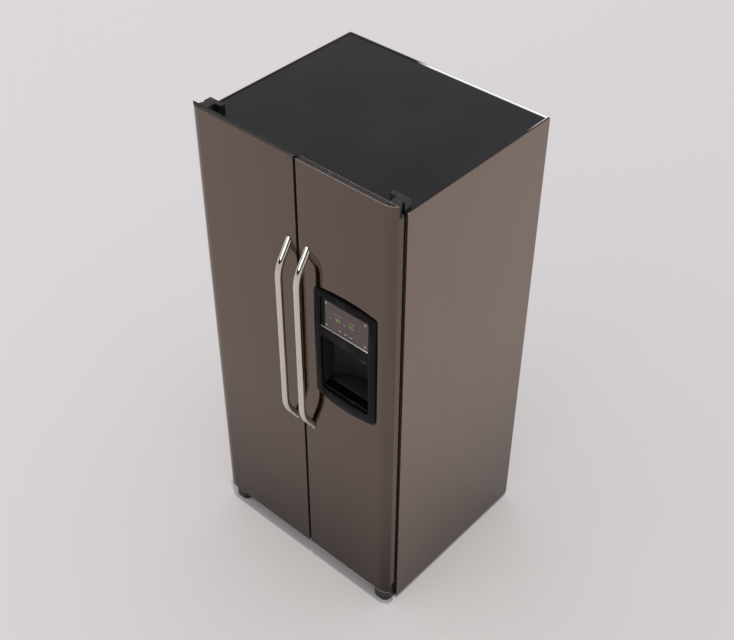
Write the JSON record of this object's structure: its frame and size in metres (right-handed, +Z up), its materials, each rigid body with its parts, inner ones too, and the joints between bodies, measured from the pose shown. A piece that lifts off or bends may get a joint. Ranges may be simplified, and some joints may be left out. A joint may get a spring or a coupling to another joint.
{
  "type": "side by side refrigerator",
  "caption": "Side by side refrigerator with bow handles, an ice and water dispenser in the freezer door, sliding drawers, shelves and a rear machine space.",
  "frame": {"origin": "on the floor, under the middle of the whole object's bounding box", "axes": "+Z up; the doors face -Y; the fresh-food side is at -X and the freezer side, with the dispenser, at +X"},
  "size_m": [0.832, 0.794, 1.8],
  "materials": {
    "door_steel": "satin titanium-brown metallic",
    "case_paint": "satin brown metallic paint",
    "top_paint": "charcoal satin paint",
    "grey_steel": "plain zinc-coated sheet",
    "black_paint": "black satin enamel",
    "bracket_steel": "zinc-plated",
    "wire_steel": "white coated wire",
    "auger_steel": "brushed",
    "handle_chrome": "polished chrome",
    "dark_plastic": "fine black texture",
    "cap_plastic": "charcoal satin",
    "roller_plastic": "dark grey",
    "gloss_black": "piano black",
    "display_glass": "smoked mirror window with green digits",
    "liner_plastic": "white satin",
    "trim_plastic": "pale grey",
    "basket_plastic": "frosted white",
    "clear_plastic": "clear with a cold tint",
    "shelf_glass": "tempered glass",
    "gasket_rubber": "soft dark gasket"
  },
  "bodies": {
    "cabinet": {"side_panel_left": "case_paint", "side_panel_right": "case_paint", "top_panel": "top_paint", "back_panel": "grey_steel", "base_pan": "grey_steel", "front_frame": "case_paint", "liner_fresh": "liner_plastic", "liner_freezer": "liner_plastic", "toe_grille": "dark_plastic", "hinge_top_left": "bracket_steel", "hinge_top_right": "bracket_steel", "hinge_cover_left": "dark_plastic", "hinge_cover_right": "dark_plastic", "hinge_bottom_left": "bracket_steel", "hinge_bottom_right": "bracket_steel", "foot_cover_left": "dark_plastic", "foot_cover_right": "dark_plastic", "compressor": "black_paint", "condenser": "black_paint", "fan_shroud": "dark_plastic", "compressor_cover": "grey_steel", "service_fittings": "dark_plastic", "control_housing": "liner_plastic", "shelf_frames": "trim_plastic", "shelf_glass": "shelf_glass", "evaporator_cover": "liner_plastic", "freezer_shelves": "wire_steel", "ice_maker": "basket_plastic", "ice_bucket": "clear_plastic"},
    "left_door": {"left_door_panel": "door_steel", "left_door_caps": "cap_plastic", "left_door_liner": "liner_plastic", "left_gasket": "gasket_rubber", "left_handle": "handle_chrome", "left_bins": "clear_plastic"},
    "right_door": {"right_door_panel": "door_steel", "right_door_caps": "cap_plastic", "right_door_liner": "liner_plastic", "right_gasket": "gasket_rubber", "right_handle": "handle_chrome", "right_bins": "clear_plastic", "dispenser_fascia": "gloss_black", "display_panel": "display_glass", "dispenser_housing": "gloss_black", "drip_tray": "dark_plastic"},
    "dairy_lid": {"dairy_flap": "clear_plastic"},
    "paddle": {"dispenser_paddle": "dark_plastic"},
    "ice_door": {"chute_flap": "dark_plastic"},
    "upper_crisper": {"crisper_upper": "clear_plastic"},
    "lower_crisper": {"crisper_lower": "clear_plastic"},
    "upper_basket": {"freezer_basket_upper": "basket_plastic"},
    "lower_basket": {"freezer_basket_lower": "basket_plastic"},
    "auger": {"ice_auger": "auger_steel"},
    "fan": {"fan_blade": "dark_plastic"},
    "left_leg": {"leveling_leg_left": "bracket_steel"},
    "right_leg": {"leveling_leg_right": "bracket_steel"},
    "left_roller": {"rear_roller_left": "roller_plastic"},
    "right_roller": {"rear_roller_right": "roller_plastic"}
  },
  "joints": [
    {"name": "left_door_hinge", "type": "hinge", "parent": "cabinet", "child": "left_door", "pos_m": [-0.396, -0.304, 0.9], "axis": [0, 0, -1], "range_deg": [0, 110]},
    {"name": "right_door_hinge", "type": "hinge", "parent": "cabinet", "child": "right_door", "pos_m": [0.396, -0.304, 0.9], "axis": [0, 0, 1], "range_deg": [0, 110]},
    {"name": "upper_crisper_slide", "type": "slide", "parent": "cabinet", "child": "upper_crisper", "axis": [0, -1, 0], "range_m": [0, 0.25]},
    {"name": "lower_crisper_slide", "type": "slide", "parent": "cabinet", "child": "lower_crisper", "axis": [0, -1, 0], "range_m": [0, 0.25]},
    {"name": "upper_basket_slide", "type": "slide", "parent": "cabinet", "child": "upper_basket", "axis": [0, -1, 0], "range_m": [0, 0.25]},
    {"name": "lower_basket_slide", "type": "slide", "parent": "cabinet", "child": "lower_basket", "axis": [0, -1, 0], "range_m": [0, 0.25]},
    {"name": "dairy_lid_hinge", "type": "hinge", "parent": "left_door", "child": "dairy_lid", "pos_m": [-0.186, -0.183, 1.684], "axis": [1, 0, 0], "range_deg": [0, 75]},
    {"name": "paddle_hinge", "type": "hinge", "parent": "right_door", "child": "paddle", "pos_m": [0.227, -0.254, 1.169], "axis": [1, 0, 0], "range_deg": [0, 10], "stiffness_Nm_per_rad": 0.3},
    {"name": "ice_door_hinge", "type": "hinge", "parent": "right_door", "child": "ice_door", "pos_m": [0.227, -0.264, 1.178], "axis": [1, 0, 0], "range_deg": [0, 50]},
    {"name": "auger_spin", "type": "hinge", "parent": "cabinet", "child": "auger", "pos_m": [0.227, -0.018, 1.446], "axis": [0, -1, 0], "continuous": true},
    {"name": "fan_spin", "type": "hinge", "parent": "cabinet", "child": "fan", "pos_m": [-0.09, 0.276, 0.128], "axis": [1, 0, 0], "continuous": true},
    {"name": "left_leg_thread", "type": "hinge", "parent": "cabinet", "child": "left_leg", "pos_m": [-0.37, -0.244, 0.02], "axis": [0, 0, 1], "continuous": true},
    {"name": "right_leg_thread", "type": "hinge", "parent": "cabinet", "child": "right_leg", "pos_m": [0.37, -0.244, 0.02], "axis": [0, 0, 1], "continuous": true},
    {"name": "left_roller_spin", "type": "hinge", "parent": "cabinet", "child": "left_roller", "pos_m": [-0.36, 0.332, 0.017], "axis": [1, 0, 0], "continuous": true},
    {"name": "right_roller_spin", "type": "hinge", "parent": "cabinet", "child": "right_roller", "pos_m": [0.36, 0.332, 0.017], "axis": [1, 0, 0], "continuous": true}
  ],
  "couplings": [
    {"joint": "upper_crisper_slide", "follows": "left_door_hinge", "m_per_rad": 0.13},
    {"joint": "lower_crisper_slide", "follows": "left_door_hinge", "m_per_rad": 0.13},
    {"joint": "upper_basket_slide", "follows": "right_door_hinge", "m_per_rad": 0.13},
    {"joint": "lower_basket_slide", "follows": "right_door_hinge", "m_per_rad": 0.13},
    {"joint": "ice_door_hinge", "follows": "paddle_hinge", "ratio": 5}
  ]
}
